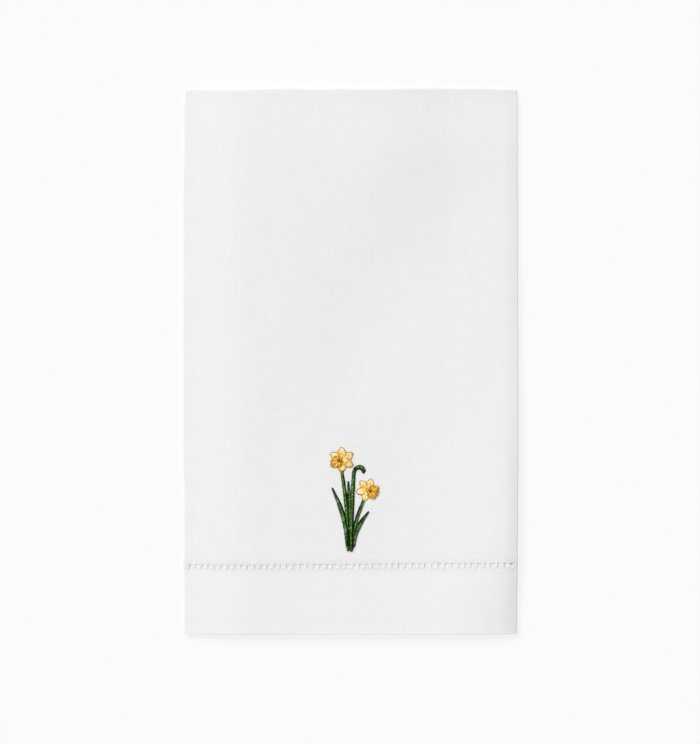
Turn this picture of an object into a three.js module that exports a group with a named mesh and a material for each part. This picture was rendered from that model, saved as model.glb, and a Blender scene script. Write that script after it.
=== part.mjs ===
// A linen guest towel with hemstitched ends. The cloth is folded in three along its
// length, sides to the back, and then in half across it, so that its middle has six
// layers. Millimetres, +Z up. It lies on z = 0 with the fold towards +Y, and the
// origin is at the bottom centre of its box.
import * as THREE from 'three';
import { mergeVertices } from 'three/addons/utils/BufferGeometryUtils.js';

const { degToRad, lerp, smoothstep } = THREE.MathUtils;

// The cloth laid flat.
const CLOTH_WIDTH = 356;
const CLOTH_LENGTH = 508;
const CLOTH_THICKNESS = 1;
const HEM_DEPTH = 31.7;
const HEM_THICKNESS = 1.15;
const LADDER_WIDTH = 2.4; // the drawn-thread row beside each hem

// The folded towel.
const FOLDED_WIDTH = 155.4;
const FOLDED_LENGTH = 253.6;
const LAYER_GAP = 0.3;
const HALVES_GAP = 0.5; // between the front half and the back half
const FIRST_FLAP_REACH = 100; // from the left fold to the first flap's free edge

// The right fold is the rounder one: the panel falls before it, and the second flap
// leaves it loosely and then drops under the first flap's edge.
const RIGHT_FALL = 0.5;
const RIGHT_FALL_WIDTH = 6;
const RIGHT_LOOSENESS = 1.45; // in layers, from the panel to the second flap
const FLAP_STEP_START = 2; // clear of the first flap's free edge
const FLAP_STEP_WIDTH = 16;

// How far the front half comes down over the thinner sides and at its loose corner.
const LEFT_DROP = { depth: 2, from: -24, to: -76 };
const RIGHT_DROP = { depth: 0.6, from: 28, to: 74 };
const CORNER_DROP = { depth: 1.1, fromX: 56, toX: 77, fromY: -100, toY: -126 };

// Soft swells (+) and hollows (-) of the front half: centre, the angle of the long
// axis from +X, half lengths along and across that axis, and rise.
const SWELLS = [
  { x: -6, y: 34, turn: 52, along: 92, across: 24, rise: -0.3 },
  { x: 46, y: -38, turn: 70, along: 60, across: 22, rise: 0.2 },
  { x: -52, y: -52, turn: 80, along: 46, across: 18, rise: 0.18 },
  { x: 10, y: -92, turn: 8, along: 60, across: 12, rise: -0.12 },
];

// How far the side folds wander out (+) and in (-) of a straight line.
const SIDE_DRIFT = [
  { y: -127, left: -0.1, right: -0.3 },
  { y: -66, left: -0.1, right: -0.05 },
  { y: -42, left: 0.3, right: 0.25 },
  { y: -10, left: 0.35, right: 0.2 },
  { y: 70, left: 0.3, right: 0 },
  { y: 108, left: -0.05, right: 0 },
  { y: 120, left: -0.1, right: 0 },
  { y: 127, left: -0.7, right: -0.4 },
];

// The same for the top fold, across the width.
const TOP_DRIFT = [
  { x: -78, out: -0.3 },
  { x: -56, out: -0.35 },
  { x: -28, out: 0.3 },
  { x: -18, out: -0.1 },
  { x: -5, out: 0.25 },
  { x: 14, out: -0.1 },
  { x: 32, out: 0.25 },
  { x: 55, out: 0.1 },
  { x: 78, out: -0.3 },
];

// Steps of the mesh in each stretch of the section and of the length.
const SPAN_STEPS = 9;
const PANEL_STEPS = 12;
const EASE_STEPS = 3;
const NOSE_STEPS = 6;
const FRONT_STEPS = 9;
const BACK_STEPS = 2;
const TOP_STEPS = 8;

const LAYER = CLOTH_THICKNESS + LAYER_GAP;
const HALF_DEPTH = 3 * CLOTH_THICKNESS + 2 * LAYER_GAP;
const STACK_HEIGHT = 2 * HALF_DEPTH + HALVES_GAP;
const TOP_Y = FOLDED_LENGTH / 2;
const FOLD_Y = TOP_Y - STACK_HEIGHT / 2;

const LINEN = new THREE.MeshStandardMaterial({
  color: 0xf3f2ef,
  roughness: 0.9,
  metalness: 0,
});

// A table's value at a place, easing from row to row.
function eased(table, key, value, place) {
  const next = table.findIndex((row) => row[key] >= place);
  if (next < 0) return table[table.length - 1][value];
  if (next === 0) return table[0][value];
  const [a, b] = [table[next - 1], table[next]];
  return lerp(a[value], b[value], smoothstep(place, a[key], b[key]));
}

// A span that eases from one level to another, level at both ends.
function easeSpan(from, to) {
  const middle = (from.x + to.x) / 2;
  return new THREE.CubicBezierCurve(
    from,
    new THREE.Vector2(middle, from.y),
    new THREE.Vector2(middle, to.y),
    to,
  );
}

// A half turn to the left (side -1) or right (side 1) edge, between two levels.
function nose(side, level, radius) {
  const edge = (side * (FOLDED_WIDTH - CLOTH_THICKNESS)) / 2;
  const centre = new THREE.Vector2(edge - side * radius, level);
  const up = Math.PI / 2;
  const [start, end] = side < 0 ? [3 * up, up] : [up, -up];
  return new THREE.ArcCurve(centre.x, centre.y, radius, start, end, true);
}

// The middle of the cloth's thickness across the towel, from the first flap's free
// edge, round the left fold, across the panel and round the right fold to the second
// flap's free edge. x is across, y is down from the panel's outer face.
function sectionCurves() {
  const panelLevel = -CLOTH_THICKNESS / 2;
  const firstLevel = panelLevel - LAYER;
  const looseLevel = panelLevel - RIGHT_LOOSENESS * LAYER;
  const secondLevel = panelLevel - 2 * LAYER;
  const fallenLevel = panelLevel - RIGHT_FALL;
  const left = nose(-1, (panelLevel + firstLevel) / 2, LAYER / 2);
  const right = nose(1, (fallenLevel + looseLevel) / 2, (fallenLevel - looseLevel) / 2);
  const firstEdge = new THREE.Vector2(FIRST_FLAP_REACH - FOLDED_WIDTH / 2, firstLevel);
  const fallStart = right.getPoint(0).setY(panelLevel);
  fallStart.x -= RIGHT_FALL_WIDTH;
  const stepEnd = new THREE.Vector2(firstEdge.x + FLAP_STEP_START, secondLevel);
  const stepStart = new THREE.Vector2(stepEnd.x + FLAP_STEP_WIDTH, looseLevel);
  const stretches = [
    { curve: new THREE.LineCurve(firstEdge, left.getPoint(0)), steps: SPAN_STEPS },
    { curve: left, steps: NOSE_STEPS },
    { curve: new THREE.LineCurve(left.getPoint(1), fallStart), steps: PANEL_STEPS },
    { curve: easeSpan(fallStart, right.getPoint(0)), steps: EASE_STEPS },
    { curve: right, steps: NOSE_STEPS },
    { curve: new THREE.LineCurve(right.getPoint(1), stepStart), steps: EASE_STEPS },
    { curve: easeSpan(stepStart, stepEnd), steps: EASE_STEPS },
  ];
  const used = stretches.reduce((sum, { curve }) => sum + curve.getLength(), 0);
  const secondEdge = new THREE.Vector2(stepEnd.x - (CLOTH_WIDTH - used), secondLevel);
  const last = new THREE.LineCurve(stepEnd, secondEdge);
  return [...stretches, { curve: last, steps: EASE_STEPS }];
}

// Stations across the cloth, each with the direction that its face side looks in.
function acrossStations() {
  const stations = [];
  for (const { curve, steps } of sectionCurves()) {
    for (let i = stations.length ? 1 : 0; i <= steps; i += 1) {
      const along = curve.getTangent(i / steps);
      const face = new THREE.Vector2(-along.y, along.x);
      stations.push({ middle: curve.getPoint(i / steps), face });
    }
  }
  return stations;
}

// Stations along the cloth, from the back half's end over the top fold to the front
// half's end. share is the part of the way up or down a half, turn the angle in the
// fold from the front.
function alongStations() {
  const outer = STACK_HEIGHT / 2 - CLOTH_THICKNESS / 2;
  const front = FOLD_Y + FOLDED_LENGTH / 2;
  const back = CLOTH_LENGTH - front - Math.PI * outer;
  const half = (name, length, steps) => {
    const ladder = LADDER_WIDTH / 2;
    const places = [0, HEM_DEPTH - ladder, HEM_DEPTH + ladder];
    const step = (length - HEM_DEPTH - ladder) / steps;
    for (let i = 1; i <= steps; i += 1) places.push(places[2] + i * step);
    return places.map((fromEnd) => ({
      half: name,
      share: fromEnd / length,
      length,
      thickness: fromEnd < HEM_DEPTH ? HEM_THICKNESS : CLOTH_THICKNESS,
    }));
  };
  const fold = Array.from({ length: TOP_STEPS - 1 }, (_, i) => ({
    half: 'top',
    turn: Math.PI * (1 - (i + 1) / TOP_STEPS),
    thickness: CLOTH_THICKNESS,
  }));
  const frontRows = half('front', front, FRONT_STEPS).reverse();
  return [...half('back', back, BACK_STEPS), ...fold, ...frontRows];
}

function drop({ depth, from, to }, place) {
  return depth * smoothstep((place - from) / (to - from), 0, 1);
}

function swell({ x, y, turn, along, across, rise }, place) {
  const away = new THREE.Vector2(place.x - x, place.y - y);
  away.rotateAround(new THREE.Vector2(), -degToRad(turn));
  return rise * Math.exp(-((away.x / along) ** 2) - (away.y / across) ** 2);
}

// The height of the front half's outer face above the surface.
function frontHeight(x, y) {
  const place = new THREE.Vector2(x, Math.min(y, FOLD_Y));
  const { depth, fromX, toX, fromY, toY } = CORNER_DROP;
  const cornerX = smoothstep((x - fromX) / (toX - fromX), 0, 1);
  const cornerY = smoothstep((place.y - fromY) / (toY - fromY), 0, 1);
  const swells = SWELLS.reduce((sum, row) => sum + swell(row, place), 0);
  const sides = drop(LEFT_DROP, x) + drop(RIGHT_DROP, x);
  return STACK_HEIGHT - sides - depth * cornerX * cornerY + swells;
}

// Where a point of the folded section lies, at a station along the cloth. Height is
// measured up from the outer face of the unhemmed panel, so inside the half it is
// negative.
function placed(x, height, station) {
  const radius = frontHeight(x, FOLD_Y) / 2;
  const foldY = TOP_Y - radius;
  if (station.half === 'top') {
    const out = radius + height;
    const y = foldY + out * Math.sin(station.turn);
    return new THREE.Vector3(x, y, radius + out * Math.cos(station.turn));
  }
  const end = FOLD_Y - station.length;
  const y = lerp(end, foldY, station.share);
  const z = station.half === 'front' ? frontHeight(x, y) + height : -height;
  return new THREE.Vector3(x, y, z);
}

// The wander of the folded towel's outline.
function drifted(point) {
  const side = point.x < 0 ? 'left' : 'right';
  const out = eased(SIDE_DRIFT, 'y', side, point.y) / (FOLDED_WIDTH / 2);
  const up = smoothstep(point.y, 0, TOP_Y) * eased(TOP_DRIFT, 'x', 'out', point.x);
  return point.set(point.x * (1 + out), point.y + up, point.z);
}

// The cloth is a thin box with a column for each station across and a row for each
// station along, and every corner of it is moved to its place in the folds.
function foldedCloth() {
  const across = acrossStations();
  const along = alongStations();
  const [columns, rows] = [across.length - 1, along.length - 1];
  const box = new THREE.BoxGeometry(1, 1, 1, columns, 1, rows);
  box.deleteAttribute('normal');
  box.deleteAttribute('uv');
  const cloth = mergeVertices(box);
  const corners = cloth.getAttribute('position');
  for (let i = 0; i < corners.count; i += 1) {
    const { middle, face } = across[Math.round((corners.getX(i) + 0.5) * columns)];
    const station = along[Math.round((corners.getZ(i) + 0.5) * rows)];
    const spare = station.thickness - CLOTH_THICKNESS;
    const lift = station.half === 'front' ? spare / 2 : -spare / 2;
    const outwards = corners.getY(i) * station.thickness;
    const height = middle.y + face.y * outwards + lift;
    const point = drifted(placed(middle.x + face.x * outwards, height, station));
    corners.setXYZ(i, point.x, point.y, point.z);
  }
  cloth.computeBoundingBox();
  const centre = cloth.boundingBox.getCenter(new THREE.Vector3());
  cloth.translate(-centre.x, -centre.y, 0);
  cloth.computeVertexNormals();
  return cloth;
}

const towel = new THREE.Mesh(foldedCloth(), LINEN);
towel.name = 'towel_cloth';

const part = new THREE.Group();
part.add(towel);

export default part;
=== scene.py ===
"""A folded linen hand towel with hemstitched ends and a stitched spray of daffodils.

The cloth lies on the folds of its solid: the sides turned to the back, then the whole
folded in half, with the fold towards +Y. Metres, +Z up. Every stitch is worked on the
flat cloth, at (across, along, lift), and then folded with it.
"""

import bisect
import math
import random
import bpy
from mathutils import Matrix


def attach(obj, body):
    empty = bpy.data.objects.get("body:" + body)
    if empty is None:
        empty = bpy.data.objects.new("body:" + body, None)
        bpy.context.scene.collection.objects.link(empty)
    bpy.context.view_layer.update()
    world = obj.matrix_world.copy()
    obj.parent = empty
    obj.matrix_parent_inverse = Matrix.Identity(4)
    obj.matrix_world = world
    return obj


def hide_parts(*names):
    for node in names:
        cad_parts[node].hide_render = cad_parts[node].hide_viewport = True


bl_info = {
    "name": "Folded Hemstitched Hand Towel",
    "version": (1, 0, 0),
    "blender": (4, 5, 0),
    "location": "View3D > Sidebar > Towel",
    "description": "Folds a linen towel, sews its hemstitch and stitches its daffodils",
    "category": "Add Mesh",
}

import bmesh
import bpy
from mathutils import Matrix, Vector, noise

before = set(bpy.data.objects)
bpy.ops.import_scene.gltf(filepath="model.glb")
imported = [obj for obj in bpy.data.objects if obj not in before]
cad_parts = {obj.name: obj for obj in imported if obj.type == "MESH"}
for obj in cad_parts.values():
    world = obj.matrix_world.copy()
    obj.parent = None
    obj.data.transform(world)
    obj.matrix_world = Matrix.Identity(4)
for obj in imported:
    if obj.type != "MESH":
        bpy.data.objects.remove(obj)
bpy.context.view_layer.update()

MM = 0.001
NODE = "towel_cloth"
BODY = "root"


def table(names, *rows):
    """Rows of values, each as a record under the names at the head of the table."""
    return tuple(dict(zip(names, row)) for row in rows)


# The cloth laid flat, and the folds of its solid.
CLOTH_WIDTH = 356 * MM
CLOTH_LENGTH = 508 * MM
FOLDED_WIDTH = 155.4 * MM
FOLDED_LENGTH = 253.6 * MM
SOLID_THICKNESS = 1 * MM
LAYER_GAP = 0.3 * MM
HALVES_GAP = 0.5 * MM
FIRST_FLAP_REACH = 100 * MM
RIGHT_FALL = 0.5 * MM
RIGHT_FALL_WIDTH = 6 * MM
RIGHT_LOOSENESS = 1.2
FLAP_STEP_START = 2 * MM
FLAP_STEP_WIDTH = 16 * MM

LAYER = SOLID_THICKNESS + LAYER_GAP
HALF_DEPTH = 3 * SOLID_THICKNESS + 2 * LAYER_GAP
STACK_HEIGHT = 2 * HALF_DEPTH + HALVES_GAP
TOP_Y = FOLDED_LENGTH / 2
FOLD_Y = TOP_Y - STACK_HEIGHT / 2
FRONT_LENGTH = FOLD_Y + FOLDED_LENGTH / 2
OVER_LENGTH = math.pi * (STACK_HEIGHT - SOLID_THICKNESS) / 2
BACK_LENGTH = CLOTH_LENGTH - FRONT_LENGTH - OVER_LENGTH

# The cloth is thinner than the layers of its solid, so it lies this much lower.
LOWERED = 0.7 * MM

# How far the stack is pressed down at its thinner sides, at its ends and at its
# loose corner: depth, and where it starts and ends, in millimetres.
LEFT_DROP = {"depth": 2.0, "start": -46, "end": -78}
TOP_DROP = table(
    ("x", "depth"),
    (0, 0.5),
    (40, 1.9),
    (78, 1.4),
)
TOP_DROP_SPAN = (96, 132)
BOTTOM_DROP = {"depth": 0.8, "start": -92, "end": -127}
BOTTOM_DROOP = {"depth": 0.45, "reach": 12}
CORNER_DROP = {"depth": 2.2, "x": (50, 77.7), "y": (-80, -127)}
RIGHT_DROP = table(
    ("y", "depth"),
    (-112, -0.5),
    (25, 2.4),
    (127, 2.2),
)
RIGHT_DROP_SPAN = (8, 74)

# Soft swells (+) and hollows (-) of the front half: centre, the angle of the long
# axis from +X in degrees, half lengths along and across it, and rise, in millimetres.
SWELLS = table(
    ("x", "y", "turn", "along", "across", "rise"),
    (-56, 0, 90, 130, 26, 1.0),
    (34, 66, 52, 60, 28, -1.1),
    (4, 4, 62, 44, 24, -0.9),
    (20, -70, 98, 50, 26, -1.1),
    (68, -24, 88, 70, 26, 1.0),
)

# How far the right edge of the front half droops towards its side fold, and from how
# far in, in millimetres.
RIGHT_DROOP = table(
    ("y", "depth", "reach"),
    (-127, 0.75, 10),
    (-60, 0.75, 9),
    (-35, 0.45, 8),
    (-19, 0.05, 6),
    (-6, 0.1, 6),
    (20, 0.4, 8),
    (90, 0.45, 10),
    (127, 0.1, 8),
)

# How far the side folds wander out (+) and in (-), and the top fold, in millimetres.
SIDE_DRIFT = table(
    ("y", "left", "right"),
    (-127, -0.1, -0.3),
    (-66, -0.1, -0.05),
    (-42, 0.3, 0.25),
    (-10, 0.35, 0.2),
    (70, 0.3, 0),
    (108, -0.05, 0),
    (120, -0.1, 0),
    (127, -0.7, -0.4),
)
TOP_DRIFT = table(
    ("x", "out"),
    (-78, -0.3),
    (-56, -0.35),
    (-28, 0.3),
    (-18, -0.1),
    (-5, 0.25),
    (14, -0.1),
    (32, 0.25),
    (55, 0.1),
    (78, -0.3),
)

# The cloth's own unevenness, finer than its solid's: wavelengths and height.
RIPPLES = (
    {"across": 38 * MM, "along": 52 * MM, "height": 0.25 * MM, "slice": 1.7},
    {"across": 12 * MM, "along": 15 * MM, "height": 0.05 * MM, "slice": 4.2},
)

# The layers share out the height of the stack. Towards the sides there are two in
# each half, which take the room of this height: from where to where, in millimetres.
SIDE_STACK_HEIGHT = 5.4 * MM
MIDDLE_STARTS = (-38, -24)
MIDDLE_ENDS = (40, 52)

# The folds are pressed, so their bends are squarer than half circles.
FOLD_SQUARENESS = 6
SIDE_SQUARENESS = 3

# The flaps nestle up under the hemstitch row: how deep the top of the upper and of the
# covered flap lie there and how steeply it falls away under the row, their thickness,
# how far this reaches along the cloth, how much steeper than an even slope it starts,
# how far from a side fold it starts and is full, and over how far up to the upper
# flap's edge the covered one comes up.
NEST = {
    "upper": 0.3 * MM,
    "fall": 0.07,
    "covered": 1.2 * MM,
    "thickness": 0.85 * MM,
    "reach": 6 * MM,
    "steepness": 1.6,
    "start": 1.7 * MM,
    "full": 3.2 * MM,
    "opening": 1.0 * MM,
}

# The ends of the flaps lie a little short of the face's, from this far into a flap.
FLAP_SHORT = {"first": 4.2 * MM, "second": 3.6 * MM}
FLAP_SHORT_FROM = 8 * MM

# Steps of the cloth's mesh.
PANEL_STEP = 2.5 * MM
FLAP_STEP = 5 * MM
CLOSE_STEP = 0.5 * MM
FALL_STEPS = 8
NOSE_STEPS = 12
TOP_STEPS = 18
BACK_STEP = 5 * MM
EDGE_STEPS = (0.12 * MM, 0.3 * MM, 0.55 * MM, 1.1 * MM, 1.8 * MM)
EDGE_ROUNDING = 0.3

# The hemstitch row: how far it is from the end of the cloth to its middle, and its
# height. It isn't quite square to the folds, and lies a little low.
HEM_PLACE = 31.7 * MM
LADDER_HEIGHT = 2 * MM
LADDER_TILT = 0.37 * MM
LADDER_SAG = 0.25 * MM

# The picture's frame, which holds the whole towel with a margin.
VIEW_HEIGHT = 344.0 * MM
VIEW_CENTRE = (-0.2 * MM, -5.2 * MM)
LENS_MM = 100
SENSOR_MM = 36


# --- Small helpers -------------------------------------------------------------


def lerp(a, b, share):
    return a + (b - a) * share


def smooth(share):
    share = min(max(share, 0), 1)
    return share * share * (3 - 2 * share)


def steepening(share):
    return min(max(share, 0), 1) ** 2


def linear(hex_colour):
    """An sRGB hex colour as the linear colour that shaders take."""
    channels = [int(hex_colour[i : i + 2], 16) / 255 for i in (1, 3, 5)]
    return [c / 12.92 if c <= 0.04045 else ((c + 0.055) / 1.055) ** 2.4 for c in channels]


def spread(start, end, step):
    """Places from start to end, evenly, at most a step apart."""
    count = max(1, math.ceil(abs(end - start) / step - 1e-9))
    return [lerp(start, end, i / count) for i in range(count + 1)]


def eased(table, key, value, place):
    """A table's value at a place, easing from row to row."""
    after = next((i for i, row in enumerate(table) if row[key] >= place), None)
    if after is None:
        return table[-1][value]
    if after == 0:
        return table[0][value]
    a, b = table[after - 1], table[after]
    return lerp(a[value], b[value], smooth((place - a[key]) / (b[key] - a[key])))


def piece(name, bm, materials):
    """Make a finished mesh a piece of the towel, at the origin."""
    mesh = bpy.data.meshes.new(name)
    bm.to_mesh(mesh)
    bm.free()
    for material in materials:
        mesh.materials.append(material)
    obj = bpy.data.objects.new(name, mesh)
    bpy.context.collection.objects.link(obj)
    return obj


# --- The folds -----------------------------------------------------------------


def squared(angle, power):
    """How far out a pressed bend stands, as a share of a round one's radius."""
    return (abs(math.sin(angle)) ** power + abs(math.cos(angle)) ** power) ** (-1 / power)


def bow(centre, radius, start, end, steps):
    """Points of a pressed bend about a centre, angles from +X in degrees."""
    for angle in (math.radians(a) for a in spread(start, end, abs(end - start) / steps)):
        reach = radius * squared(angle, SIDE_SQUARENESS)
        yield Vector((centre[0] + reach * math.cos(angle), centre[1] + reach * math.sin(angle)))


def span(start, end, step, ease=smooth):
    """Points from one place to another: level at both ends, or as the easing says."""
    for x in spread(start[0], end[0], step):
        share = (x - start[0]) / (end[0] - start[0])
        yield Vector((x, lerp(start[1], end[1], ease(share))))


def section():
    """The cloth's face side across one half, as (x, height above the panel's face):
    the first flap's edge, the left fold, the panel, the right fold, the second flap."""
    edge = FOLDED_WIDTH / 2
    first = -SOLID_THICKNESS - LAYER
    second = first - LAYER
    loose = -SOLID_THICKNESS - RIGHT_LOOSENESS * LAYER
    left_radius = -first / 2
    steepest = math.degrees(math.atan(2 * RIGHT_FALL / RIGHT_FALL_WIDTH))
    right_radius = (-RIGHT_FALL - loose) / (1 + math.cos(math.radians(steepest)))
    left = (left_radius - edge, first / 2)
    right = (edge - right_radius, loose + right_radius)
    first_edge = FIRST_FLAP_REACH - edge
    fall_end = right[0] + right_radius * math.sin(math.radians(steepest))
    fall_start = fall_end - RIGHT_FALL_WIDTH
    step_end = first_edge + FLAP_STEP_START
    step_start = step_end + FLAP_STEP_WIDTH
    fall_step = RIGHT_FALL_WIDTH / FALL_STEPS
    close = FLAP_STEP_START
    stretches = [
        span((first_edge, first), (left[0] + close, first), FLAP_STEP),
        span((left[0] + close, first), (left[0], first), CLOSE_STEP),
        bow(left, left_radius, 270, 90, NOSE_STEPS),
        span((left[0], 0), (fall_start, 0), PANEL_STEP),
        span((fall_start, 0), (fall_end, -RIGHT_FALL), fall_step, steepening),
        bow(right, right_radius, 90 - steepest, -90, NOSE_STEPS),
        span((right[0], loose), (right[0] - close, loose), CLOSE_STEP),
        span((right[0] - close, loose), (step_start, loose), FLAP_STEP),
        span((step_start, loose), (step_end, second), PANEL_STEP),
    ]
    points = []
    for stretch in stretches:
        points += list(stretch)[1 if points else 0 :]
    used = sum((b - a).length for a, b in zip(points, points[1:]))
    second_edge = step_end - (CLOTH_WIDTH - used)
    covered = first_edge - 2 * CLOSE_STEP
    points += list(span((step_end, second), (covered, second), CLOSE_STEP))[1:]
    points += list(span((covered, second), (second_edge, second), FLAP_STEP))[1:]
    return points


SECTION = section()
ACROSS = [0.0]
for here, there in zip(SECTION, SECTION[1:]):
    ACROSS.append(ACROSS[-1] + (there - here).length)


def section_at(across):
    """The section's point and the direction its face looks in, at a place across."""
    i = min(max(bisect.bisect_right(ACROSS, across) - 1, 0), len(ACROSS) - 2)
    share = (across - ACROSS[i]) / (ACROSS[i + 1] - ACROSS[i])
    before = SECTION[i + 1] - SECTION[max(i - 1, 0)]
    after = SECTION[min(i + 2, len(SECTION) - 1)] - SECTION[i]
    way = before.normalized().lerp(after.normalized(), share).normalized()
    return SECTION[i].lerp(SECTION[i + 1], share), Vector((-way.y, way.x))


# Where the two side folds are, across the flat cloth.
SIDE_FOLDS = tuple(
    ACROSS[SECTION.index(outermost(SECTION, key=lambda point: point.x))]
    for outermost in (min, max)
)

# The place across the flat cloth that comes to the middle of the folded face.
MID_ACROSS = next(
    lerp(ACROSS[i], ACROSS[i + 1], -a.x / (b.x - a.x))
    for i, (a, b) in enumerate(zip(SECTION, SECTION[1:]))
    if a.x <= 0 < b.x
)


def drop(row, place):
    return row["depth"] * smooth((place - row["start"]) / (row["end"] - row["start"]))


def swell(row, x, y):
    turn = math.radians(row["turn"])
    away = Vector((x - row["x"], y - row["y"]))
    along = away.x * math.cos(turn) + away.y * math.sin(turn)
    across = away.y * math.cos(turn) - away.x * math.sin(turn)
    return row["rise"] * math.exp(-((along / row["along"]) ** 2) - (across / row["across"]) ** 2)


def front_height(x, y):
    """The height of the front half's face above the surface that it lies on."""
    y = min(y, FOLD_Y)
    x_mm, y_mm = x / MM, y / MM
    x0, x1 = CORNER_DROP["x"]
    y0, y1 = CORNER_DROP["y"]
    corner = steepening((x_mm - x0) / (x1 - x0)) * smooth((y_mm - y0) / (y1 - y0))
    fall = drop(LEFT_DROP, x_mm) + drop(BOTTOM_DROP, y_mm)
    fall += CORNER_DROP["depth"] * corner
    start, end = TOP_DROP_SPAN
    fall += eased(TOP_DROP, "x", "depth", x_mm) * smooth((y_mm - start) / (end - start))
    start, end = RIGHT_DROP_SPAN
    fall += eased(RIGHT_DROP, "y", "depth", y_mm) * smooth((x_mm - start) / (end - start))
    below = BOTTOM_DROOP["reach"] - (y_mm + FOLDED_LENGTH / 2 / MM)
    fall += BOTTOM_DROOP["depth"] * steepening(below / BOTTOM_DROOP["reach"])
    reach = eased(RIGHT_DROOP, "y", "reach", y_mm)
    droop = eased(RIGHT_DROOP, "y", "depth", y_mm)
    fall += droop * steepening((x_mm - FOLDED_WIDTH / 2 / MM + reach) / reach)
    rise = sum(swell(row, x_mm, y_mm) for row in SWELLS)
    ripple = sum(
        row["height"] * noise.noise((x / row["across"], y / row["along"], row["slice"]))
        for row in RIPPLES
    )
    return STACK_HEIGHT - LOWERED + (rise - fall) * MM + ripple


def flap_short(across):
    """How far short of the face's end the end of a flap lies."""
    first, second = SIDE_FOLDS
    if across < first:
        return FLAP_SHORT["first"] * smooth((first - across) / FLAP_SHORT_FROM)
    return FLAP_SHORT["second"] * smooth((across - second) / FLAP_SHORT_FROM)


def nested(across, x, depth, swelling, y, ladder_y):
    """How far a flap rises towards the face where it lies under the hemstitch row."""
    first, second = SIDE_FOLDS
    into = max(first - across, across - second)
    if into < NEST["start"]:
        return 0.0
    first_edge = FIRST_FLAP_REACH - FOLDED_WIDTH / 2
    open_share = 1.0
    if across > second:
        open_share = smooth(1 + (x - first_edge) / NEST["opening"])
    below = min(max(ladder_y + LADDER_HEIGHT / 2 - y, 0), LADDER_HEIGHT)
    top = -lerp(NEST["covered"], NEST["upper"], open_share) - NEST["fall"] * below
    bottom = top - NEST["thickness"] * swelling
    near = smooth(min(NEST["steepness"] * (1 - abs(y - ladder_y) / NEST["reach"]), 1))
    inside = smooth((into - NEST["start"]) / (NEST["full"] - NEST["start"]))
    return near * inside * (bottom - depth)


def spacing(x, height):
    """How far apart the layers lie at a height of the stack, as a share of how far
    apart they lie in the solid."""
    start, end = MIDDLE_STARTS
    middle = smooth((x / MM - start) / (end - start))
    start, end = MIDDLE_ENDS
    middle *= 1 - smooth((x / MM - start) / (end - start))
    return lerp(height / SIDE_STACK_HEIGHT, height / STACK_HEIGHT, middle)


def folded(across, along, lift=0.0):
    """Where a place on the flat cloth comes to in the folded towel. Along is measured
    from the front end, and lift is the height above the cloth's face. The layers lie
    as far apart as spacing says, and the flaps rise under the hemstitch rows."""
    middle, face = section_at(across)
    x = middle.x + face.x * lift
    radius = front_height(x, FOLD_Y) / 2
    fold_y = TOP_Y - radius

    def depth_at(height, y=None, ladder_y=None):
        """The depth under the face, where the stack has a height."""
        apart = spacing(x, height)
        thinned = min(apart, 1)
        depth = middle.y * apart
        if y is not None:
            depth += nested(across, x, depth, thinned, y, ladder_y)
        return depth + face.y * lift * thinned

    if along < FRONT_LENGTH:
        ladder = smooth(1 - abs(1 - along / HEM_PLACE))
        end = flap_short(across) - FOLDED_LENGTH / 2
        tilt = LADDER_TILT * x / (FOLDED_WIDTH / 2) - LADDER_SAG
        y = lerp(end, fold_y, along / FRONT_LENGTH) + ladder * tilt
        ladder_y = lerp(-FOLDED_LENGTH / 2, fold_y, HEM_PLACE / FRONT_LENGTH) + tilt
        height = front_height(x, y)
        z = height + depth_at(height, y, ladder_y)
    elif along < FRONT_LENGTH + OVER_LENGTH:
        turn = math.pi * (along - FRONT_LENGTH) / OVER_LENGTH
        bend = (radius + depth_at(2 * radius)) * squared(turn, FOLD_SQUARENESS)
        y = fold_y + bend * math.sin(turn)
        z = radius + bend * math.cos(turn)
    else:
        share = (along - FRONT_LENGTH - OVER_LENGTH) / BACK_LENGTH
        y = lerp(fold_y, FOLD_Y - BACK_LENGTH + flap_short(across), share)
        z = -depth_at(front_height(x, y), y, FOLD_Y - BACK_LENGTH + HEM_PLACE)
    side = "left" if x < 0 else "right"
    x_mm, y_mm = x / MM, y / MM
    out = eased(SIDE_DRIFT, "y", side, y_mm) * MM / (FOLDED_WIDTH / 2)
    up = smooth(y / TOP_Y) * eased(TOP_DRIFT, "x", "out", x_mm) * MM
    return Vector((x * (1 + out), y + up, z))


# --- Sizes and colours ---------------------------------------------------------


def length(name, default, use):
    return bpy.props.FloatProperty(name=name, description=use, default=default, unit="LENGTH")


class TowelSizes(bpy.types.PropertyGroup):
    """Sizes of the cloth and its needlework."""

    cloth_thickness: length("Cloth thickness", 0.55 * MM, "Thickness of one layer of linen")
    hem_depth: length("Hem depth", HEM_PLACE, "From an end to the middle of its hemstitch row")
    hem_thickness: length("Hem thickness", 0.85 * MM, "Thickness of the turned hem")
    side_hem: length("Side hem", 5 * MM, "Width of the narrow hems on the long sides")
    ladder_height: length("Ladder height", LADDER_HEIGHT, "Height of the drawn-thread row")
    ladder_pitch: length("Ladder pitch", 3.05 * MM, "From one thread bundle to the next")
    bundle_width: length("Bundle width", 1.9 * MM, "Width of a bundle where it leaves the cloth")
    weave_spacing: length("Weave spacing", 0.55 * MM, "Between the threads of the weave")
    stitch_spacing: length("Stitch spacing", 0.3 * MM, "Between satin stitches")


def colour(name, hex_colour, use):
    return bpy.props.FloatVectorProperty(
        name=name,
        description=use,
        default=linear(hex_colour),
        subtype="COLOR",
        min=0,
        max=1,
    )


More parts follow.
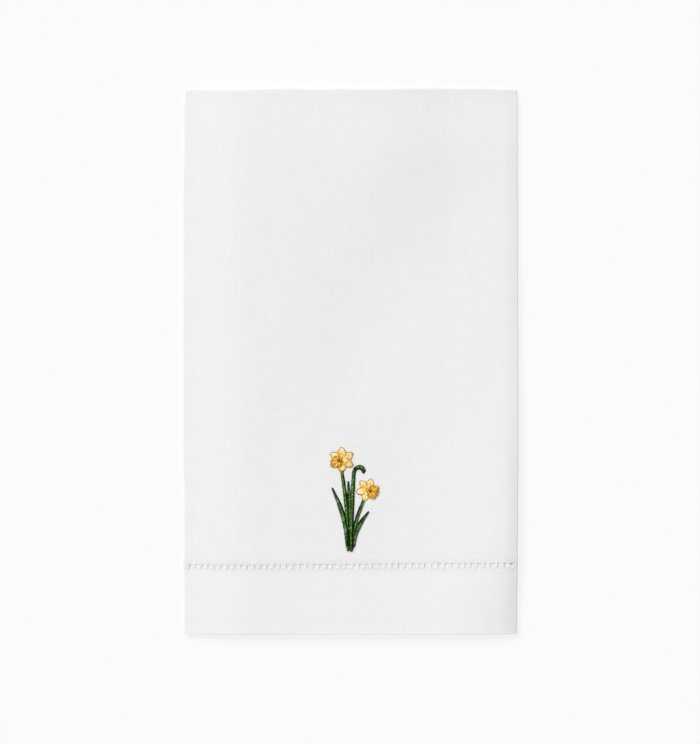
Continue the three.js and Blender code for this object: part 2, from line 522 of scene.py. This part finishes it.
class TowelColours(bpy.types.PropertyGroup):
    """Colours of the cloth and the embroidery threads."""

    linen: colour("Linen", "#F1F1F1", "Raised threads of the bleached linen")
    # Linen shade colours the weave's hollows as painted shade, and is also the plain colour of
    # the sewing thread.
    linen_shade: colour("Linen shade", "#EAEAEA", "Hollows of the weave")
    hem_linen: colour("Hem linen", "#F0F0F0", "Linen lying several layers thick")
    mid_green: colour("Mid green", "#5C843F", "Stems and leaves")
    deep_green: colour("Deep green", "#365C22", "Deeper threads of the stems")
    light_green: colour("Light green", "#86A968", "Lighter threads of the stems")
    dark_green: colour("Dark green", "#0C2406", "Shaded side of stems, and the bud")
    pale_yellow: colour("Pale yellow", "#FFF2C2", "Petals")
    yellow: colour("Yellow", "#F3C52E", "Petals near the middle")
    gold: colour("Gold", "#DDA00E", "Petal edges and trumpets")
    amber: colour("Amber", "#B87608", "Edges and frills")
    rust: colour("Rust", "#9A4406", "Throats of the trumpets")


# --- Materials -----------------------------------------------------------------


def node(tree, kind, settings=None, links=None):
    """Add a node with its settings and what feeds its inputs."""
    new = tree.nodes.new(kind)
    for name, value in (settings or {}).items():
        if isinstance(name, int) or name in new.inputs:
            new.inputs[name].default_value = value
        else:
            setattr(new, name, value)
    for name, source in (links or {}).items():
        tree.links.new(source, new.inputs[name])
    return new


def surface(tree, settings, links=None):
    """The shader that a material ends in, with its output."""
    shader = node(tree, "ShaderNodeBsdfPrincipled", settings, links)
    node(tree, "ShaderNodeOutputMaterial", links={"Surface": shader.outputs[0]})


def colour_mix(tree, colours, links):
    """A colour between two, at inputs 6 and 7, by the share at input 0."""
    mix = node(tree, "ShaderNodeMix", {"data_type": "RGBA", **colours}, links)
    return mix.outputs[2]


def new_material(name):
    material = bpy.data.materials.new(name)
    material.use_nodes = True
    material.node_tree.nodes.clear()
    return material, material.node_tree


def noise_texture(tree, place, settings):
    """Noise at a place, as a value and as a colour."""
    return node(tree, "ShaderNodeTexNoise", settings, {"Vector": place}).outputs


def math_node(tree, operation, a, b=None):
    """One step of arithmetic on sockets or numbers."""
    new = node(tree, "ShaderNodeMath", {"operation": operation})
    for i, value in enumerate((a, b)):
        if value is None:
            continue
        if isinstance(value, (int, float)):
            new.inputs[i].default_value = value
        else:
            tree.links.new(value, new.inputs[i])
    return new.outputs[0]


def woven_linen(sizes, colours):
    """Bleached plain-woven linen, washed and ironed: matt, with threads of uneven
    thickness, so that slubs show as short lighter and darker streaks both ways. The
    hollows of the weave are also painted darker than its raised threads: painted shade."""
    material, tree = new_material("bleached_plain_woven_linen")
    cloth = node(tree, "ShaderNodeUVMap", {"uv_map": "cloth"}).outputs["UV"]
    thread = 1 / sizes.weave_spacing

    def streaks(across, along, turn):
        """Noise drawn out along the threads that run one way."""
        stretch = (1 / across, 1 / along, 1) if turn == "warp" else (1 / along, 1 / across, 1)
        place = {"Scale": stretch, "Location": (3.1 * len(turn), 0, 0)}
        mapped = node(tree, "ShaderNodeMapping", place, {"Vector": cloth}).outputs[0]
        grain = {"Scale": 1.0, "Detail": 2.0, "Roughness": 0.55}
        return noise_texture(tree, mapped, grain)["Fac"]

    # The threads wander sideways, by up to a third of their spacing.
    wander = noise_texture(tree, cloth, {"Scale": 1 / (5 * MM), "Detail": 1.0})["Color"]
    centred = node(
        tree,
        "ShaderNodeVectorMath",
        {"operation": "MULTIPLY_ADD", 1: (0.4 * MM,) * 3, 2: (-0.2 * MM,) * 3},
        {0: wander},
    ).outputs[0]
    wandered = node(
        tree, "ShaderNodeVectorMath", {"operation": "ADD"}, {0: cloth, 1: centred}
    ).outputs[0]
    axes = node(tree, "ShaderNodeSeparateXYZ", links={0: wandered})

    def ridge(axis):
        turns = math_node(tree, "MULTIPLY", axes.outputs[axis], 2 * math.pi * thread)
        return math_node(tree, "COSINE", turns)

    def weaving(axis):
        turns = math_node(tree, "MULTIPLY", axes.outputs[axis], math.pi * thread)
        return math_node(tree, "SINE", turns)

    warp, weft = ridge("X"), ridge("Y")
    crossing = math_node(tree, "MULTIPLY", weaving("X"), weaving("Y"))
    over = math_node(tree, "MULTIPLY_ADD", crossing, 0.5)
    over.node.inputs[2].default_value = 0.5
    weave = node(tree, "ShaderNodeMix", links={0: over, 2: weft, 3: warp}).outputs[0]

    warp_slubs = streaks(0.7 * MM, 13 * MM, "warp")
    weft_slubs = streaks(0.7 * MM, 13 * MM, "weft")
    slubs = math_node(tree, "ADD", warp_slubs, weft_slubs)
    relief = math_node(tree, "MULTIPLY_ADD", weave, 0.35)
    tree.links.new(slubs, relief.node.inputs[2])

    # The weave's hollows are painted darker than its raised threads, which is painted shade; the
    # slubs are the yarn's own lighter and darker tone.
    tone = node(
        tree,
        "ShaderNodeMapRange",
        {"From Min": 0.45, "From Max": 1.55, "To Min": 0.0, "To Max": 1.0},
        {"Value": relief},
    ).outputs[0]
    threads = {6: (*colours.linen_shade, 1), 7: (*colours.linen, 1)}
    base = colour_mix(tree, threads, {0: tone})

    # The turned hems lie three layers thick, so they show whiter and more even.
    far = math_node(tree, "SUBTRACT", CLOTH_LENGTH, axes.outputs["Y"])
    end = math_node(tree, "MINIMUM", axes.outputs["Y"], far)
    hemmed = node(
        tree,
        "ShaderNodeMapRange",
        {
            "From Min": sizes.hem_depth,
            "From Max": sizes.hem_depth - 1 * MM,
            "To Min": 0.0,
            "To Max": 0.5,
        },
        {"Value": end},
    ).outputs[0]
    whole = colour_mix(tree, {7: (*colours.hem_linen, 1)}, {0: hemmed, 6: base})
    hollows = {"Strength": 0.48, "Distance": 0.05 * MM}
    bump = node(tree, "ShaderNodeBump", hollows, {"Height": relief}).outputs[0]
    matt_cloth = {
        "Roughness": 0.9,
        "Sheen Weight": 0.08,
        "Sheen Roughness": 0.5,
        "IOR": 1.45,
        "Subsurface Weight": 0.5,
        "Subsurface Radius": (1, 1, 1),
        "Subsurface Scale": 0.6 * MM,
    }
    surface(tree, matt_cloth, {"Base Color": whole, "Normal": bump})
    return material


def spun_thread(name, shade, roughness, depth=0.16):
    """Spun or filament thread laid in stitches: soft gloss along it, and a little
    lighter and darker from fibre to fibre."""
    material, tree = new_material(name)
    place = node(tree, "ShaderNodeTexCoord").outputs["Object"]
    grain = {"Scale": 1 / (0.5 * MM), "Detail": 3.0, "Roughness": 0.6}
    fibres = noise_texture(tree, place, grain)["Fac"]
    light = [min(c * (1 + depth), 1) for c in shade]
    dark = [c * (1 - depth) for c in shade]
    base = colour_mix(tree, {6: (*dark, 1), 7: (*light, 1)}, {0: fibres})
    hollows = {"Strength": 0.3, "Distance": 0.04 * MM}
    bump = node(tree, "ShaderNodeBump", hollows, {"Height": fibres}).outputs[0]
    soft_gloss = {"Roughness": roughness, "Specular IOR Level": 0.06, "IOR": 1.5}
    surface(tree, soft_gloss, {"Base Color": base, "Normal": bump})
    return material


# --- Stitches ------------------------------------------------------------------

THREAD_SIDES = 5
THREAD_CUTS = 4
# Satin stitches differ in reach and in rise, and none is narrower than this.
SATIN_REACH = (0.84, 1.1)
SATIN_RISE = 0.28
SATIN_NARROWEST = 0.3 * MM
EDGING_BOW = 0.06 * MM


class Stitches:
    """Stitches on the flat cloth, gathered and then made one mesh. Each is a thread
    from one place to another, bowed up and to its left between its ends."""

    def __init__(self):
        self.rows = []

    def add(self, start, end, radius, bow_height, material=0, bow_left=0.0):
        ends = Vector(start), Vector(end)
        self.rows.append((*ends, radius, bow_height, material, bow_left))

    def thread(self):
        """One thread of unit length and radius, along X."""
        bm = bmesh.new()
        bmesh.ops.create_cone(
            bm, cap_ends=True, segments=THREAD_SIDES, radius1=1, radius2=1, depth=1
        )
        bmesh.ops.rotate(bm, verts=bm.verts, matrix=Matrix.Rotation(math.pi / 2, 3, "Y"))
        long_edges = [e for e in bm.edges if abs(e.verts[0].co.x - e.verts[1].co.x) > 0.5]
        bmesh.ops.subdivide_edges(bm, edges=long_edges, cuts=THREAD_CUTS)
        mesh = bpy.data.meshes.new("thread")
        bm.to_mesh(mesh)
        bm.free()
        return mesh

    def build(self, name, materials):
        """Lay every stitch as a copy of the thread, fold them all and make the piece."""
        thread = self.thread()
        bm = bmesh.new()
        for _ in self.rows:
            bm.from_mesh(thread)
        bm.verts.ensure_lookup_table()
        bm.faces.ensure_lookup_table()
        corners, sides = len(thread.vertices), len(thread.polygons)
        for k, row in enumerate(self.rows):
            start, end, radius, bow_height, material, bow_left = row
            way = (end - start).normalized()
            beside = Vector((-way.y, way.x, 0)).normalized()
            for vert in bm.verts[k * corners : (k + 1) * corners]:
                share = vert.co.x + 0.5
                slim = 1 - 0.45 * abs(2 * share - 1) ** 4
                bowed = 1 - (2 * share - 1) ** 2
                aside = vert.co.y * radius * slim + bow_left * bowed
                place = start.lerp(end, share) + beside * aside
                lift = place.z + vert.co.z * radius * slim + bow_height * bowed
                vert.co = folded(place.x, place.y, lift)
            for face in bm.faces[k * sides : (k + 1) * sides]:
                face.material_index = material
                face.smooth = True
        bpy.data.meshes.remove(thread)
        return piece(name, bm, materials)


def curve(knots, step):
    """A smooth line through a few places, as points about a step apart."""
    places = [Vector(k) for k in knots]
    points = []
    for i, (a, b) in enumerate(zip(places, places[1:])):
        before = places[i - 1] if i else a - (b - a)
        after = places[i + 2] if i + 2 < len(places) else b + (b - a)
        for t in spread(0, 1, step / (b - a).length)[1 if points else 0 :]:
            lead = (b - before) * 0.5
            trail = (after - a) * 0.5
            points.append(
                a * (2 * t**3 - 3 * t**2 + 1)
                + b * (3 * t**2 - 2 * t**3)
                + lead * (t**3 - 2 * t**2 + t)
                + trail * (t**3 - t**2)
            )
    return points


def on_face(place, lift):
    """A place from the middle of the folded face, as one on the flat cloth."""
    return MID_ACROSS + place[0], place[1] + FOLDED_LENGTH / 2, lift


def sew(stitches, start, end, lift, radius, bow_height, tone):
    """Add a stitch from one place to another, both from the middle of the face."""
    stitches.add(on_face(start, lift), on_face(end, lift), radius, bow_height, tone)


def middle_line(knots, step):
    """A column's middle and its width, given in millimetres, about a step apart."""
    return curve([(x * MM, y * MM, width * MM) for x, y, width in knots], step)


def sideways(line, i):
    """The way that a line runs at a point, and the direction to the right of it."""
    way = (line[min(i + 1, len(line) - 1)] - line[max(i - 1, 0)]).to_2d().normalized()
    return way, Vector((way.y, -way.x))


def satin(stitches, line, radius, tones, draw, lift=0.0, slant=35):
    """A satin column: stitches side by side along a line. Tones are rows of thread
    number and share, and neighbouring stitches are often of one tone."""
    lean = math.tan(math.radians(slant))
    tone = tones[0][0]
    for i, here in enumerate(line):
        way, side = sideways(line, i)
        if i % 2 == 0:
            tone = draw.choices([t for t, _ in tones], [share for _, share in tones])[0]
        half = max(here.z, SATIN_NARROWEST) / 2
        reach = side * half + way * half * lean
        start = here.to_2d() - reach * draw.uniform(*SATIN_REACH)
        end = here.to_2d() + reach * draw.uniform(*SATIN_REACH)
        bow_up = SATIN_RISE * half * draw.uniform(0.8, 1.2)
        sew(stitches, start, end, lift, radius, bow_up, tone)


def edging(stitches, line, share, radius, tone, draw, lift):
    """A run of short stitches along a column, at a share of its half width."""
    places = []
    for i, here in enumerate(line):
        _, side = sideways(line, i)
        places.append(here.to_2d() + side * here.z / 2 * share * draw.uniform(0.85, 1.1))
    for a, b in zip(places, places[1:]):
        sew(stitches, a, b, lift, radius, EDGING_BOW, tone)


# --- Operators -----------------------------------------------------------------


class TOWEL_OT_cloth(bpy.types.Operator):
    """Fold the linen cloth, with its end hems and its drawn-thread rows"""

    bl_idname = "towel.cloth"
    bl_label = "Fold Cloth"

    row_thickness = 0.24 * MM
    thinning = 3.5 * MM

    def rows(self, sizes):
        """Places along the cloth, closer together at edges and in the top fold."""
        half = sizes.ladder_height / 2
        low, high = sizes.hem_depth - half, sizes.hem_depth + half
        over = FRONT_LENGTH + OVER_LENGTH
        stops = [
            (0, low, PANEL_STEP),
            (high, FRONT_LENGTH, PANEL_STEP),
            (over, CLOTH_LENGTH - high, BACK_STEP),
            (CLOTH_LENGTH - low, CLOTH_LENGTH, BACK_STEP),
        ]
        places = set(spread(FRONT_LENGTH, over, OVER_LENGTH / TOP_STEPS))
        for start, end, step in stops:
            places |= set(spread(start, end, step))
            places |= {start + e for e in EDGE_STEPS if start != over}
            places |= {end - e for e in EDGE_STEPS if end != FRONT_LENGTH}
        ordered = sorted(places)
        return [a for a, b in zip(ordered, ordered[1:] + [math.inf]) if b - a > 1e-6]

    def thickness(self, sizes, across, along):
        """Thickness of the cloth, which on the face thins towards the drawn threads."""
        end = min(along, CLOTH_LENGTH - along)
        side = min(across, CLOTH_WIDTH - across)
        hemmed = end < sizes.hem_depth or side < sizes.side_hem
        full = sizes.hem_thickness if hemmed else sizes.cloth_thickness
        if not SIDE_FOLDS[0] < across < SIDE_FOLDS[1]:
            return full
        off = abs(end - sizes.hem_depth) - sizes.ladder_height / 2
        return lerp(self.row_thickness, full, smooth(off / self.thinning))

    def execute(self, context):
        sizes, colours = context.scene.towel_sizes, context.scene.towel_colours
        rows = self.rows(sizes)
        half = sizes.ladder_height / 2
        edges = [0, sizes.hem_depth - half, sizes.hem_depth + half]
        edges += [CLOTH_LENGTH - e for e in edges]
        bm = bmesh.new()
        columns, steps = len(ACROSS) - 1, len(rows) - 1
        bmesh.ops.create_grid(bm, x_segments=columns, y_segments=steps, size=0.5)

        def along(vert):
            return rows[round((vert.co.y + 0.5) * steps)]

        def drawn(face):
            """Whether a face lies in a row where the cross threads are drawn out."""
            middle = sum(along(v) for v in face.verts) / 4
            return abs(min(middle, CLOTH_LENGTH - middle) - sizes.hem_depth) < half

        gone = [f for f in bm.faces if drawn(f)]
        bmesh.ops.delete(bm, geom=gone, context="FACES")
        bmesh.ops.solidify(bm, geom=bm.faces[:], thickness=1)
        back = max((vert.co.z for vert in bm.verts), key=abs)
        cloth_map = bm.loops.layers.uv.new("cloth")
        places = {}
        for vert in bm.verts:
            across = ACROSS[round((vert.co.x + 0.5) * columns)]
            along_place = along(vert)
            edge = min(abs(along_place - e) for e in edges)
            thickness = self.thickness(sizes, across, along_place)
            round_off = max(0, 1 - edge / (thickness / 2))
            inset = thickness / 2 * EDGE_ROUNDING * (1 - math.sqrt(1 - round_off**2))
            depth = thickness - inset if abs(vert.co.z - back) < 0.5 else inset
            places[vert] = (across, along_place, -depth)
        for face in bm.faces:
            face.smooth = True
            for loop in face.loops:
                across, along_place, lift = places[loop.vert]
                loop[cloth_map].uv = (across + lift, along_place + lift)
        for vert, place in places.items():
            vert.co = folded(*place)
        bmesh.ops.recalc_face_normals(bm, faces=bm.faces)
        cloth = piece("linen_cloth", bm, [woven_linen(sizes, colours)])
        cloth.data.set_sharp_from_angle(angle=math.radians(40))
        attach(cloth, BODY)
        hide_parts(NODE)
        return {"FINISHED"}


class TOWEL_OT_hemstitch(bpy.types.Operator):
    """Gather the drawn threads of both end hems into bundles, and sew them down"""

    bl_idname = "towel.hemstitch"
    bl_label = "Sew Hemstitch"

    threads = 8
    thread_radius = 0.16 * MM
    thread_depth = 0.15 * MM
    waist = 0.6
    # Round a side fold the threads lie spread, over this far each way.
    fold_threads = 12
    fold_width = 2.9 * MM
    fold_waist = 0.9
    fold_reach = 3.4 * MM
    sewing_radius = 0.12 * MM
    sewing_bow = 0.05 * MM
    # How deep the sewing lies in the cloth, and at the back end, which it rests on.
    sewing_depths = (0.08 * MM, 0.18 * MM)
    hold = 0.6 * MM
    stitch_reach = 0.8 * MM
    stitch_hold = 0.1 * MM
    stitch_lean = 0.2 * MM
    # Where the sewing stands, as a share of a bundle's width from its middle.
    stitch_side = 0.4
    # Every other thread of a bundle lies this much higher.
    thread_step = 0.04 * MM

    def execute(self, context):
        sizes, colours = context.scene.towel_sizes, context.scene.towel_colours
        draw = random.Random(11)
        stitches = Stitches()
        half = sizes.ladder_height / 2
        count = int(CLOTH_WIDTH / sizes.ladder_pitch)
        margin = (CLOTH_WIDTH - (count - 1) * sizes.ladder_pitch) / 2
        hems = (sizes.hem_depth, CLOTH_LENGTH - sizes.hem_depth)
        for hem, depth in zip(hems, self.sewing_depths):
            for k in range(count):
                across = margin + k * sizes.ladder_pitch + draw.uniform(-0.25, 0.25) * MM
                width = sizes.bundle_width * draw.uniform(0.85, 1.15)
                threads, waist = self.threads, self.waist
                if min(abs(across - fold) for fold in SIDE_FOLDS) < self.fold_reach:
                    width, waist = self.fold_width, self.fold_waist
                    threads = self.fold_threads
                for j in range(threads):
                    off = (j / (threads - 1) - 0.5) * width
                    depth = self.thread_depth - self.thread_step * (j % 2)
                    start = (across + off, hem - half - self.hold, -depth)
                    end = (across + off, hem + half + self.hold, -depth)
                    bow_left = off * (1 - waist)
                    stitches.add(start, end, self.thread_radius, 0, bow_left=bow_left)
                for end in (-1, 1):
                    edge = hem + end * half
                    side = across + sizes.bundle_width * self.stitch_side
                    inner = (side, edge - end * self.stitch_hold, -depth)
                    outer = (side + self.stitch_lean, edge + end * self.stitch_reach, -depth)
                    stitches.add(inner, outer, self.sewing_radius, self.sewing_bow, 1)
        materials = [
            spun_thread("drawn_linen_threads", colours.hem_linen, 0.85, 0.04),
            spun_thread("white_cotton_sewing_thread", colours.linen_shade, 0.7, 0.03),
        ]
        ladder = stitches.build("hemstitch_threads", materials)
        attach(ladder, BODY)
        return {"FINISHED"}


# Stems and leaves of the spray, in millimetres from the middle of the folded face. Each
# rises from its foot and bows outwards as it grows: where it starts, how far it reaches
# sideways, its height, its width and that of its tip, and the side in darker thread.
STEMS = table(
    ("x", "foot", "reach", "height", "wide", "tip", "shade"),
    (-1.5, -86, -7, 27, 2, 0.5, 1),
    (1.5, -86, 7, 16, 2, 0.5, -1),
    (0, -87, -1, 31, 2, 0.5, -1),
    (-1, -88, -3, 37, 1.7, 1.2, 1),
    (1, -87, 5, 22, 1.6, 1.2, -1),
    (0.5, -88, 1, 36, 1.6, 1.6, 1),
)
# Shares of a stem's width, evenly spaced from its foot to below its tip.
GROWN_WIDTHS = (0.6, 0.95, 1.0)
# The bud nods over from the top of its stem in a half circle: its widths on the way.
BUD = {"x": 1.5, "y": -52, "radius": 2.5, "widths": (1.6, 1.7, 2.2, 1.4), "shade": 1}
MID, DEEP, LIGHT, DARK = 0, 1, 2, 3
STEM_TONES = ((MID, 0.48), (DEEP, 0.32), (LIGHT, 0.2))
BUD_TONES = ((DARK, 0.26), (DEEP, 0.34), (MID, 0.4))


def grown(row):
    """Knots of a stem or leaf, evenly spaced up it, which bows outwards as it grows."""
    widths = [row["wide"] * share for share in GROWN_WIDTHS] + [row["tip"]]
    knots = []
    for k, width in enumerate(widths):
        share = k / (len(widths) - 1)
        across = row["x"] + row["reach"] * share**2
        knots.append((across, row["foot"] + row["height"] * share, width))
    return knots


def nodding(bud):
    """Knots of a bud that goes up, over and down in a half circle."""
    knots = []
    for k, width in enumerate(bud["widths"]):
        turn = math.pi * (1 - k / (len(bud["widths"]) - 1))
        x = bud["x"] + bud["radius"] * (1 + math.cos(turn))
        knots.append((x, bud["y"] + bud["radius"] * math.sin(turn), width))
    return knots


class TOWEL_OT_stems(bpy.types.Operator):
    """Stitch the stems, strap leaves and bud of the spray in satin stitch"""

    bl_idname = "towel.stems"
    bl_label = "Stitch Stems"

    thread_radius = 0.17 * MM
    edge_step = 0.9 * MM
    # Where columns cross, each lies on the next in turn, with its dark stitches on top.
    column_lift = 0.1 * MM
    edge_lift = 0.24 * MM
    # Runs of dark stitches: share of the half width, and thickness of their thread.
    edges = ((0.85, 1.4), (0.45, 1.3), (-0.95, 0.9))

    def execute(self, context):
        sizes, colours = context.scene.towel_sizes, context.scene.towel_colours
        draw = random.Random(23)
        stitches = Stitches()
        columns = [(row, grown(row), STEM_TONES) for row in STEMS]
        columns.append((BUD, nodding(BUD), BUD_TONES))
        for k, (row, knots, tones) in enumerate(columns):
            line = middle_line(knots, sizes.stitch_spacing)
            lift = self.column_lift * (k % 3)
            satin(stitches, line, self.thread_radius, tones, draw, lift)
            coarse = middle_line(knots, self.edge_step)
            edge_lift = lift + self.edge_lift
            for share, thick in self.edges:
                radius = self.thread_radius * thick
                edging(stitches, coarse, share * row["shade"], radius, DARK, draw, edge_lift)
        materials = [
            spun_thread(f"{name}_rayon_thread", getattr(colours, name), 0.6)
            for name in ("mid_green", "deep_green", "light_green", "dark_green")
        ]
        stems = stitches.build("daffodil_stems", materials)
        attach(stems, BODY)
        return {"FINISHED"}


# The open flowers, each on the top of its stem: its middle, the length and width of a
# petal, the turn of the first of six even petals and the way that the trumpet points.
BLOOMS = table(
    ("x", "y", "petal", "wide", "turn", "points"),
    (-4, -46, 6, 3.5, 90, 200),
    (8, -60, 5.5, 3.2, 70, 340),
)
PETALS = 6
PETAL_OUTLINE = table(
    ("along", "half"),
    (0.0, 0.3),
    (0.3, 0.75),
    (0.6, 1.0),
    (0.85, 0.6),
    (1.0, 0.06),
)
PALE, YELLOW, GOLD, AMBER, RUST = 0, 1, 2, 3, 4


class TOWEL_OT_blooms(bpy.types.Operator):
    """Stitch the two open flowers: six petals each, edged, and a frilled trumpet"""

    bl_idname = "towel.blooms"
    bl_label = "Stitch Blooms"

    thread_radius = 0.17 * MM
    edge_radius = 0.18 * MM
    # Stitches to each side of a petal's middle, its two heights in turn, how far the
    # inner stitches and the edge stand above them, and how far they bow up.
    rank = 5
    petal_lifts = (0.2 * MM, 0.05 * MM)
    inner_rise = 0.06 * MM
    rim_rise = 0.2 * MM
    petal_bow = 0.18 * MM
    rim_bow = 0.05 * MM
    # Shares of the stitches that are of the deeper colour.
    outer_deeper = 0.25
    inner_deeper = 0.7
    frills = 20
    trumpet_lift = 0.5 * MM
    trumpet_bow = 0.22 * MM
    trumpet_tones = (AMBER, GOLD, YELLOW, GOLD, PALE, YELLOW)
    # How far from the mouth to the flower's middle the throat is, and its stitches.
    throat_share = 0.55
    throat_stitches = 12
    # How far a trumpet's mouth stands off the middle of its flower, and its half width.
    mouth_off = 2.5 * MM
    mouth_radius = 2.6 * MM

    def petal(self, stitches, bloom, angle, draw, lift):
        """A pointed petal: long stitches out from its root and in from its tip, which
        meet at its widest, and a run of darker ones round it."""
        way = Vector((math.cos(angle), math.sin(angle)))
        side = Vector((-way.y, way.x))
        root = Vector((bloom["x"], bloom["y"])) * MM

        def place(along, across):
            half = eased(PETAL_OUTLINE, "along", "half", along) * bloom["wide"] / 2
            return root + (way * along * bloom["petal"] + side * across * half) * MM

        for j in range(-self.rank, self.rank + 1):
            across = j / (self.rank + 0.4)
            inner = place(0.1, across), place(0.55 + draw.uniform(-0.1, 0.1), across)
            tip = 1 - 0.22 * abs(across) ** 1.5
            outer = place(0.42 + draw.uniform(-0.1, 0.1), across), place(tip, across)
            ranks = (outer, 0.0, self.outer_deeper), (inner, self.inner_rise, self.inner_deeper)
            for (a, b), rise, deeper in ranks:
                tone = YELLOW if draw.random() < deeper else PALE
                sew(stitches, a, b, lift + rise, self.thread_radius, self.petal_bow, tone)
        steps = spread(0.25, 1.0, 0.125)
        for hand in (-1, 1):
            rim = [place(t, hand * draw.uniform(0.98, 1.12)) for t in steps]
            for a, b in zip(rim, rim[1:]):
                tone = AMBER if draw.random() < 0.4 else GOLD
                sew(stitches, a, b, lift + self.rim_rise, self.edge_radius, self.rim_bow, tone)

    def trumpet(self, stitches, bloom, draw):
        """Stitches fanned out from the throat to a frilled mouth, and edged."""
        points = math.radians(bloom["points"])
        heart = Vector((bloom["x"], bloom["y"])) * MM
        mouth = heart + Vector((math.cos(points), math.sin(points))) * self.mouth_off
        throat = mouth.lerp(heart, self.throat_share)
        lift = self.trumpet_lift
        rim = []
        for k in range(self.frills * 2):
            angle = math.pi * k / self.frills
            way = Vector((math.cos(angle), math.sin(angle)))
            frill = self.mouth_radius * (1.1 if k % 4 < 2 else 0.9) * draw.uniform(0.95, 1.05)
            rim.append(mouth + way * frill)
        for k, edge in enumerate(rim):
            tone = self.trumpet_tones[k % len(self.trumpet_tones)]
            start = throat.lerp(edge, 0.2)
            sew(stitches, start, edge, lift, self.thread_radius, self.trumpet_bow, tone)
        for k, edge in enumerate(rim[::2]):
            after = rim[(2 * k + 2) % len(rim)]
            tone = AMBER if k % 2 else GOLD
            sew(stitches, edge, after, lift + 0.12 * MM, self.edge_radius, EDGING_BOW, tone)
        for k in range(self.throat_stitches):
            angle = 2 * math.pi * k / self.throat_stitches
            way = Vector((math.cos(angle), math.sin(angle)))
            reach = self.mouth_radius * draw.uniform(0.3, 0.62)
            tone = RUST if k % 3 else AMBER
            start = on_face(throat, lift + 0.16 * MM)
            end = on_face(throat + way * reach, lift + 0.2 * MM)
            stitches.add(start, end, self.thread_radius, 0.08 * MM, tone)

    def execute(self, context):
        colours = context.scene.towel_colours
        draw = random.Random(37)
        stitches = Stitches()
        for bloom in BLOOMS:
            for k in range(PETALS):
                lift = self.petal_lifts[k % 2]
                angle = math.radians(bloom["turn"]) + 2 * math.pi * k / PETALS
                self.petal(stitches, bloom, angle, draw, lift)
            self.trumpet(stitches, bloom, draw)
        depths = {"pale_yellow": 0.08, "yellow": 0.1, "gold": 0.12, "amber": 0.16, "rust": 0.16}
        materials = [
            spun_thread(f"{name}_rayon_thread", getattr(colours, name), 0.6, depth)
            for name, depth in depths.items()
        ]
        blooms = stitches.build("daffodil_blooms", materials)
        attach(blooms, BODY)
        return {"FINISHED"}


class TOWEL_OT_stage(bpy.types.Operator):
    """Set the pale floor, the soft light from the upper left and the camera above"""

    bl_idname = "towel.stage"
    bl_label = "Set Stage"

    floor_size = 12.0
    key_place = (-0.55, 0.7, 1.0)
    key_spread = 30
    key_strength = 2.545
    sky_strength = 0.42

    def floor(self):
        """A matt studio floor lit from below as well, which keeps its shadows faint."""
        material, tree = new_material("backlit_studio_floor")
        backlit = {
            "Base Color": (0.15, 0.15, 0.15, 1),
            "Roughness": 0.95,
            "Specular IOR Level": 0.0,
            "Emission Color": (1, 1, 1, 1),
            "Emission Strength": 0.806,
        }
        surface(tree, backlit)
        bm = bmesh.new()
        bmesh.ops.create_grid(bm, x_segments=4, y_segments=4, size=self.floor_size / 2)
        piece("studio_floor", bm, [material])

    def execute(self, context):
        scene = context.scene
        self.floor()
        key = bpy.data.lights.new("key_softbox", "SUN")
        key.angle = math.radians(self.key_spread)
        key.energy = self.key_strength
        lamp = bpy.data.objects.new("key_softbox", key)
        lamp.location = self.key_place
        lamp.rotation_euler = (-Vector(self.key_place)).to_track_quat("-Z", "Y").to_euler()
        context.collection.objects.link(lamp)

        world = bpy.data.worlds.new("studio")
        world.use_nodes = True
        sky = world.node_tree.nodes["Background"]
        sky.inputs["Color"].default_value = (1, 1, 1, 1)
        sky.inputs["Strength"].default_value = self.sky_strength
        scene.world = world

        lens = bpy.data.cameras.new("camera_above")
        lens.lens = LENS_MM
        lens.sensor_width = SENSOR_MM
        lens.clip_start = 0.01
        lens.clip_end = 10
        camera = bpy.data.objects.new("camera_above", lens)
        distance = VIEW_HEIGHT * LENS_MM / SENSOR_MM
        camera.location = (*VIEW_CENTRE, STACK_HEIGHT + distance)
        context.collection.objects.link(camera)
        scene.camera = camera
        scene.view_settings.view_transform = "Standard"
        return {"FINISHED"}


class TOWEL_PT_panel(bpy.types.Panel):
    """Everything that makes the towel"""

    bl_label = "Folded Hand Towel"
    bl_idname = "TOWEL_PT_panel"
    bl_space_type = "VIEW_3D"
    bl_region_type = "UI"
    bl_category = "Towel"

    def draw(self, context):
        for group in (context.scene.towel_sizes, context.scene.towel_colours):
            for name in group.bl_rna.properties.keys():
                if name not in ("rna_type", "name"):
                    self.layout.prop(group, name)
        for operator in OPERATORS:
            self.layout.operator(operator.bl_idname)


OPERATORS = (
    TOWEL_OT_cloth,
    TOWEL_OT_hemstitch,
    TOWEL_OT_stems,
    TOWEL_OT_blooms,
    TOWEL_OT_stage,
)
CLASSES = (TowelSizes, TowelColours, *OPERATORS, TOWEL_PT_panel)


def register():
    for cls in CLASSES:
        bpy.utils.register_class(cls)
    bpy.types.Scene.towel_sizes = bpy.props.PointerProperty(type=TowelSizes)
    bpy.types.Scene.towel_colours = bpy.props.PointerProperty(type=TowelColours)


def unregister():
    del bpy.types.Scene.towel_colours
    del bpy.types.Scene.towel_sizes
    for cls in reversed(CLASSES):
        bpy.utils.unregister_class(cls)


def main():
    register()
    bpy.ops.towel.cloth()
    bpy.ops.towel.hemstitch()
    bpy.ops.towel.stems()
    bpy.ops.towel.blooms()
    bpy.ops.towel.stage()


if __name__ == "__main__":
    main()
